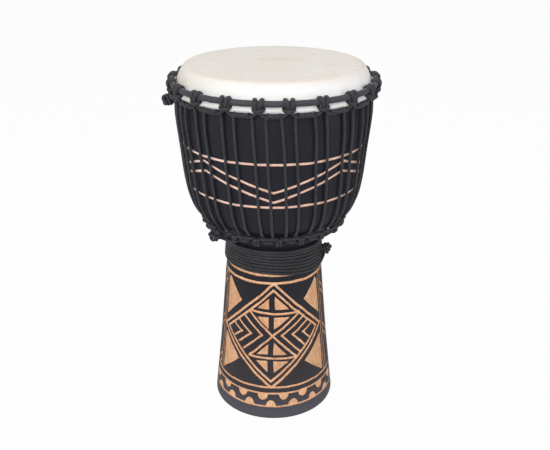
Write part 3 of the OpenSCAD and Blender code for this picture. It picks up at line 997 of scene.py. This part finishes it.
def hitch(azimuth, ring_r, ring_z, up, wander, half):
    """A cow hitch: over the ring, down behind, across as a bar, then the same way back.

    up is 1 or -1 for the way the hitch goes over; wander is how unevenly it lies, in mm."""
    per_mm = 57.2958 / ring_r
    out = []
    for sign, pace in ((1, 1), (-1, 1.7)):
        run = []
        for x, angle, distance, cord_radius in half:
            x = sign * x + wander * math.sin(0.03 * angle + azimuth * pace)
            angle = math.radians(angle)
            run.append(row(ring_r + distance * math.cos(angle), azimuth + x * per_mm,
                           ring_z + up * distance * math.sin(angle), cord_radius))
        out += run if sign > 0 else run[::-1]
    return out


def top_cradle():
    path = []
    for i in range(LOOPS):
        k = i + FIRST_LOOP
        a = top_azimuth(k)
        path.append(row(160.6, between(top_azimuth(k - 1), a), 555.8 + 0.3 * math.sin(2.3 * i),
                        ROPE_R))
        path += [row(r, a - aside, z, ROPE_R) for aside, r, z in TOP_RISE]
        path += hitch(a, CROWN_R, CROWN_Z, up=1, wander=0.28, half=TOP_HITCH)
        path += [row(r, a + aside, z, ROPE_R) for aside, r, z in TOP_RISE[::-1]]
    return tube("top_cradle_cord", [path], CORD, closed=True)


def bottom_cradle():
    path = []
    for k in range(LOOPS):
        a = bottom_azimuth(k - 1)
        path.append(row(119.3, between(bottom_azimuth(k - 2), a), 350.1, 2.1))
        path += [row(r, a - aside, z, cord) for aside, r, z, cord in BOTTOM_ENTRY]
        path += hitch(a, BOTTOM_R, BOTTOM_Z, up=-1, wander=0.24, half=BOTTOM_HITCH)
        path += [row(r, a + aside, z, cord) for aside, r, z, cord in BOTTOM_ENTRY[::-1]]
    return tube("bottom_cradle_cord", [path], CORD, closed=True)


register(top_cradle(), "head", "top_cradle_rope")
register(bottom_cradle(), "shell", "bottom_cradle_rope")


# ---------------------------------------------------------------- lacing
def leg(k, side):
    """One run up the bowl to top hitch k, on its left (side -1) or right (side 1)."""
    top, drop = 555.2, 205.1
    a = top_azimuth(k)
    shift = between(bottom_azimuth(k), bottom_azimuth(k + 1)) - a
    shift = (shift + 180) % 360 - 180
    path = [row(116.3, a + shift + 3.2 * side, 346.7, 2.1),
            row(113.7, a + shift + 3.6 * side, 350.2, 2.1),
            row(116.5, a + shift + 3.7 * side, 354.9, 2.3)]
    for z in (361, 372, 390, 420, 470, 525):
        spread = 3.75 - 0.35 * (z - 361) / 200
        wander = 0.16 * math.sin((k * 3.7 + z) * 1.3 + side)
        path.append(row(wood(z) + ROPE_R + 1.0,
                        a + spread * side + shift * (top - z) / drop + wander, z, ROPE_R))
    return path + [row(155.0, a + 3.75 * side, 552.6, ROPE_R),
                   row(158.1, a + 4.6 * side, 559.4, 2.1)]


def tension_cord():
    path = []
    for k in range(LOOPS):
        foot = between(bottom_azimuth(k), bottom_azimuth(k + 1))
        before = between(top_azimuth(k - 1), top_azimuth(k))
        after = between(top_azimuth(k), top_azimuth(k + 1))
        path += [row(163.3, before + 2.9, 559.0, 2.15)] + leg(k, -1)[::-1]
        path += [row(118.9, foot - 2.5, 345.5, 2.1), row(118.9, foot + 2.5, 345.5, 2.1)]
        path += leg(k, 1) + [row(163.3, after - 2.9, 559.0, 2.15)]
    return tube("tension_cord", [path], CORD, sides=10, step=1.22, closed=True)


lacing = tension_cord()
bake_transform(lacing)
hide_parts("tension_rope")


# ---------------------------------------------------------------- slack rope round the waist
def on_wood(z, extra=0.0):
    """Radius at which the slack rope rests on the wood."""
    return max(wood(z - 2.4), wood(z), wood(z + 2.4)) + SLACK_R + extra


def sag(azimuth, turn):
    """The turns sit lower on the right, where the rope comes down from its knot."""
    away = abs((azimuth - 62 + 180) % 360 - 180)
    return 6.6 * (1 - turn / 9) * 0.5 * (1 + math.cos(math.pi * min(1, away / 78)))


def waist_cord():
    """Both ends meet in the tie knot on the right."""
    # down from the knot: radius, azimuth, z
    start = [(90.5, 82, 288.0), (87.6, 82.4, 285.6), (on_wood(282, 5.4), 82.4, 281.6),
             (on_wood(276, 4.8), 80, 276.2), (on_wood(271, 2.4), 74.5, 271.0),
             (on_wood(267, 0.7), 67, 267.6)]
    path = [row(r, a, z, SLACK_R) for r, a, z in start]
    # lowest run across the front: azimuth, z
    lowest = [(58, 266.8), (45, 267.5), (30, 269.2), (15, 271.3), (0, 273.2), (-15, 274.0),
              (-30, 274.2)]
    path += [row(on_wood(z), a, z, SLACK_R) for a, z in lowest]
    first_a, first_z = lowest[-1]
    turns, step, rise = 7.3, 12.0, 5.3  # rise is mm per turn
    count = int(turns * 360 / step)
    for i in range(1, count + 1):
        a = first_a - i * step
        z = first_z + rise * i * step / 360 - sag(a, i * step / 360)
        z += 0.22 * math.sin(i * 1.7) + 0.18 * math.sin(i * 0.37)
        path.append(row(on_wood(z, 0.12 * math.sin(i * 0.9) + 0.1), a, z, SLACK_R))
    # the upper end runs on at one height, then is tucked under the turns to the knot
    end_z = first_z + rise * count * step / 360
    end_a = (first_a - count * step + 180) % 360 - 180
    span = (end_a - 97.0) % 360
    for i in range(1, 11):
        path.append(row(on_wood(311), end_a - span * i / 10, end_z + 0.5 * math.sin(i), SLACK_R))
    # azimuth, z, offset from the resting radius
    for a, z, extra in ((91, 309, -1.2), (87, 303, -3.0), (84.5, 296.5, -3.2),
                        (83.5, 291.5, -0.6), (83, 290.2, 4.6)):
        squeeze = 0.9 if extra < 0 else 1.0
        path.append(row(on_wood(z, extra), a, z, SLACK_R * squeeze))
    path.append(row(91.0, 82.5, 289.6, SLACK_R))
    return tube("waist_cord", [path], SLACK_SHADED, step=1.35, relief=0.045)


register(waist_cord(), "shell", "waist_rope")


# ---------------------------------------------------------------- knots
def knot(name, centre, size, depth, spin, cord, tails, body, node):
    """A tight ball of cord, one closed strand that laps itself in five lobes, with tails.

    centre is (radius, azimuth, z). Tails are (sideways, outward, up) from it, then radius."""
    middle = at(*centre)
    a = math.radians(centre[1])
    axes = np.array([[math.cos(a), math.sin(a), 0], [math.sin(a), -math.cos(a), 0], [0, 0, 1.0]])
    c, s = math.cos(spin), math.sin(spin)
    strand = []
    for i in range(60):
        t = TAU * i / 60
        reach = size * (0.50 + 0.46 * math.cos(5 * t))
        x, y = reach * math.cos(2 * t), reach * math.sin(2 * t)
        z = size * 0.46 * math.sin(5 * t) * depth
        strand.append([c * x - s * z, y, s * x + c * z, cord])

    def placed(stations):
        stations = np.array(stations, float)
        return np.column_stack([middle + stations[:, :3] @ axes, stations[:, 3]])

    ball = tube(name, [placed(strand)], CORD, step=1.1, relief=0.06, closed=True)
    ends = tube(name + "_tails", [placed(t) for t in tails], CORD, step=1.1, relief=0.06)
    bpy.ops.object.select_all(action="DESELECT")
    ball.select_set(True)
    ends.select_set(True)
    bpy.context.view_layer.objects.active = ball
    bpy.ops.object.join()
    register(ball, body, node)


# a short thick piece that fills the middle of a ball
KNOT_CORE = [(0, 0, 0, 4.2), (0, 0.5, 0.5, 4.6), (0, 1, 1, 4.0)]

knot("top_knot", centre=(166.6, FIRST - 5 * PITCH, 550.2), size=7.9, depth=1.7, spin=0.5,
     cord=2.55, body="head", node="top_cradle_knot",
     tails=[[(0, -7, 4, ROPE_R), (0, -3, 2, ROPE_R), (0, 0, 0, ROPE_R)],
            [(2, 0, 2, 2.7), (3, -2, 8, 3.2), (4, -5, 12, 2.6)],
            KNOT_CORE])
knot("bottom_knot", centre=(130.8, -45.4, 346.2), size=8.1, depth=1.75, spin=1.1,
     cord=2.6, body="shell", node="bottom_cradle_knot",
     tails=[[(7, -12, 6, ROPE_R), (4, -7, 3, ROPE_R), (0, 0, 0, ROPE_R)],
            [(2, 1, 2, 2.6), (7, 1, 6, 3.0), (9, -2, 10, 2.6)],
            [(0, -2, -4, 2.4), (3, -9.5, -6.3, 2.5), (13, -13.5, -8.0, 2.4),
             (24.5, -17.6, -8.8, 2.1), (28, -21, -8.0, 1.9)],
            KNOT_CORE])
knot("waist_knot", centre=(91.4, 81, 289.2), size=6.3, depth=1.55, spin=0.3,
     cord=2.5, body="shell", node="waist_tie_knot",
     tails=[[(-3, -5, 1, SLACK_R), (-1, -3, 1, SLACK_R), (0, 0, 0, SLACK_R)],
            [(0, 0, -2, 2.6), (0.5, 0.6, -8, 3.0), (0, 0.6, -12.6, 3.1)],
            [(0, 0, 0, 3.4), (0, 0.5, 0.5, 3.6), (0, 1, 1, 3.3)]])


# ---------------------------------------------------------------- rings wrapped in cloth
def wrapped(name, radius, z, turns, section, material, seed):
    """A strip of cloth wound round a ring, each turn lapping the last."""
    around, sides = 960, 22
    lap, lap_start = 0.42, 0.09     # height of a lap's edge; share of a turn it rises in
    thread_pitch, threads_over = 1.4, 19
    points, faces, uv = [], [], []
    for i in range(around):
        a = TAU * i / around
        for k in range(sides):
            f = TAU * k / sides
            phase = turns * i / around - k / sides
            phase += 0.10 * math.sin(7 * a + seed) + 0.05 * math.sin(19 * a + 2 * seed)
            t = phase - math.floor(phase)
            r = section - 0.28 + lap * min(1, t / lap_start) * (1 - 0.85 * t)
            r += 0.10 * noise_at(radius * math.cos(a) * .2, radius * math.sin(a) * .2, f + seed)
            out = radius + r * math.cos(f)
            points.append((out * math.sin(a), -out * math.cos(a), z + r * math.sin(f)))
    threads = TAU * radius / thread_pitch
    for i in range(around):
        a, b = i * sides, (i + 1) % around * sides
        u0, u1 = threads * i / around, threads * (i + 1) / around
        for k in range(sides):
            q = (k + 1) % sides
            faces.append((a + k, b + k, b + q, a + q))
            v0, v1 = threads_over * k / sides, threads_over * (k + 1) / sides
            uv += [(u0, v0), (u1, v0), (u1, v1), (u0, v1)]
    return make(name, points, faces, [material], uv=uv, sharp=50)


register(wrapped("crown_ring_cloth", CROWN_R, CROWN_Z, turns=64, section=4.65,
                 material=CLOTH, seed=0.7), "head", "crown_ring_wrap")
register(wrapped("bottom_ring_cloth", BOTTOM_R, BOTTOM_Z, turns=46, section=3.8,
                 material=CLOTH_SHADED, seed=2.1), "shell", "bottom_ring_wrap")

for node_name in ("crown_ring", "bottom_ring", "flesh_ring"):
    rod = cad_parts[node_name]
    for material_slot in rod.material_slots:
        material_slot.material = STEEL
    if not rod.material_slots:
        rod.data.materials.append(STEEL)


# ---------------------------------------------------------------- skin
HIDE_THICKNESS = 0.9
FLAT_RADII = np.arange(6, 132, 6.0)
# over the bearing edge and down the outside: radius, z
SKIN_FALL = [(134.0, 599.98), (136.2, 599.82), (138.0, 599.35), (139.6, 598.6), (141.0, 597.4),
             (142.6, 595.6), (144.6, 592.8), (146.8, 588.8), (148.9, 584.2), (150.4, 580.4),
             (151.2, 577.0), (151.45, 573.5), (151.45, 569.0), (151.4, 565.0)]
# the turn under the flesh ring: centre and radius of the arc
TUCK_R, TUCK_Z = 154, 563.5
TUCK_ARC = 3.0 + HIDE_THICKNESS / 2
# back up behind the cords: radius, z
SKIN_RETURN = [(155.1, 567.6), (154.3, 569.5), (153.6, 572.0), (153.1, 575.0), (152.9, 577.0)]
RUFFLED_FROM = len(FLAT_RADII) + 12  # first station that puckers


def skin_offset(station, azimuth, x, y, r, z):
    """How far (outward, up) the hide strays at a station; x, y are of the unit circle."""
    if station < len(FLAT_RADII):
        spot = Vector((x * r * .03, y * r * .03, z * .03))
        return 0.0, 0.16 * noise.noise(spot * 1.2) * (1 - r / 140)
    if z > 579:
        return 0.25 * noise_at(x * 9, y * 9, z * .05) * min(1, (HEIGHT - z) / 6), 0.0
    if station < RUFFLED_FROM:
        return 0.0, 0.0
    grow = max(0.0, min(1.0, (574 - z) / 8))
    pleats = 0.35 * math.sin(math.radians(azimuth) * 84 + 3 * noise_at(x * 4, y * 4, 0))
    pleats *= max(0, noise_at(x * 11, y * 11, 5) + 0.25)
    out = grow * (pleats + 0.35 * noise_at(x * 26, y * 26, z * .2))
    return (abs(out) if r < 152 else out), 0.0


def skin():
    around = 288
    azimuths = -180 + 360 * np.arange(around) / around
    profile = [(r, HEIGHT) for r in FLAT_RADII] + SKIN_FALL
    for degrees in range(190, 421, 20):
        f = math.radians(degrees)
        profile.append((TUCK_R + TUCK_ARC * math.cos(f), TUCK_Z + TUCK_ARC * math.sin(f)))
    outer = np.array(profile + SKIN_RETURN)
    run = np.gradient(outer, axis=0)
    normals = np.stack([-run[:, 1], run[:, 0]], 1)
    normals /= np.linalg.norm(normals, axis=1)[:, None]
    inner = outer - normals * HIDE_THICKNESS
    # down the outer face, then back along the inner one
    rows = [(outer[j], j) for j in range(len(outer))]
    rows += [(inner[j], j) for j in reversed(range(len(outer)))]
    points, slope, crease, spine = [], [], [], []
    for (r, z), j in rows:
        outer_r, outer_z = outer[j]
        for a in azimuths:
            x, y, _ = map(float, at(1, a, 0))
            out, up = skin_offset(j, a, x, y, outer_r, outer_z)
            points.append(at(r + out, a, z + up))
            slope.append(min(1.0, max(0.0, (599.2 - outer_z) / 9)))
            # a broken line where the hide bends over the edge
            patchy = 0.35 + 0.65 * max(0, noise_at(x * 2.3, y * 2.3, 3) + 0.5)
            crease.append(math.exp(-((outer_r - 137.6) / 3.2) ** 2) * patchy)
            # an oval band across the top, a little right of and behind the centre
            px, py = x * outer_r, y * outer_r
            spine.append(math.exp(-((px - 8) / 30) ** 2 - ((py - 22) / 13) ** 2)
                         * (0.5 + 0.5 * noise_at(px * .08, py * .2, 0)))
    faces = []
    for j in range(len(rows) - 1):
        a, b = j * around, (j + 1) * around
        for i in range(around):
            k = (i + 1) % around
            faces.append((b + i, b + k, a + k, a + i))
    top, under = len(points), len(points) + 1
    points = np.concatenate([points, [[0, 0, HEIGHT], [0, 0, HEIGHT - HIDE_THICKNESS]]])
    for values in (slope, crease, spine):
        values += [0.0, 0.0]
    last = (len(rows) - 1) * around
    for i in range(around):
        k = (i + 1) % around
        faces.append((top, i, k))
        faces.append((under, last + k, last + i))
    return make("goat_skin", points, faces, [HIDE],
                attrs={"slope": slope, "crease": crease, "spine": spine})


head_skin = skin()
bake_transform(head_skin)
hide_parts("drumhead_skin")


# ---------------------------------------------------------------- floor, light, camera
def floor_material():
    """Pale floor that the camera sees as nearly pure white."""
    m = Material("pale_floor")
    m.finish(Base_Color=(0.62, 0.62, 0.62), Roughness=0.9, Specular_IOR_Level=0.1)
    rays, glow, blend = m.node("LightPath"), m.node("Emission"), m.node("MixShader")
    m.feed(glow.inputs["Color"], (1, 1, 1))
    m.feed(glow.inputs["Strength"], 1.0)
    white_share = 0.97
    m.feed(blend.inputs[0], m.times(rays.outputs["Is Camera Ray"], white_share))
    m.feed(blend.inputs[1], m.shader.outputs[0])
    m.feed(blend.inputs[2], glow.outputs[0])
    m.feed(m.tree.nodes["Material Output"].inputs[0], blend.outputs[0])
    return m.material


def build_world():
    """Soft grey light all round, seen as white by the camera."""
    world = bpy.data.worlds.new("studio")
    bpy.context.scene.world = world
    world.use_nodes = True
    nodes, links = world.node_tree.nodes, world.node_tree.links
    background = nodes["Background"]
    rays = nodes.new("ShaderNodeLightPath")
    mix = nodes.new("ShaderNodeMix")
    mix.data_type = "RGBA"
    links.new(rays.outputs["Is Camera Ray"], mix.inputs[0])
    mix.inputs[6].default_value = (0.34, 0.345, 0.355, 1)
    mix.inputs[7].default_value = (1, 1, 1, 1)
    links.new(mix.outputs[2], background.inputs[0])
    background.inputs[1].default_value = 1.0


def area(name, location, target, size, power):
    data = bpy.data.lights.new(name, "AREA")
    data.shape = "RECTANGLE"
    data.size, data.size_y = size
    data.energy = power
    light = bpy.data.objects.new(name, data)
    bpy.context.scene.collection.objects.link(light)
    light.location = location
    aim = Vector(target) - Vector(location)
    light.rotation_euler = aim.to_track_quat("-Z", "Y").to_euler()


def build_camera():
    data = bpy.data.cameras.new("camera")
    data.lens = 49.48
    data.sensor_width = 36
    data.shift_x = 0.00218181818
    camera = bpy.data.objects.new("camera", data)
    bpy.context.scene.collection.objects.link(camera)
    camera.location = (0, -1.1772, 0.840)
    look_down = 23.69
    camera.rotation_euler = (math.radians(90 - look_down), 0, 0)
    bpy.context.scene.camera = camera


bpy.ops.mesh.primitive_plane_add(size=14, location=(0, 3.0, 0))
floor = bpy.context.object
floor.name = "floor"
floor.data.materials.append(floor_material())

build_world()
area("key_front", location=(-0.5, -2.4, 1.5), target=(0, 0, 0.4), size=(1.6, 1.2), power=43)
area("fill_right", location=(2.0, -0.9, 0.9), target=(0, 0, 0.35), size=(0.7, 1.8), power=13)
area("fill_left", location=(-2.0, -0.7, 0.9), target=(0, 0, 0.35), size=(0.7, 1.8), power=9)
area("overhead", location=(0, 0.3, 2.4), target=(0, 0, 0.5), size=(2.2, 2.2), power=24)
build_camera()
bpy.context.scene.view_settings.view_transform = "Standard"
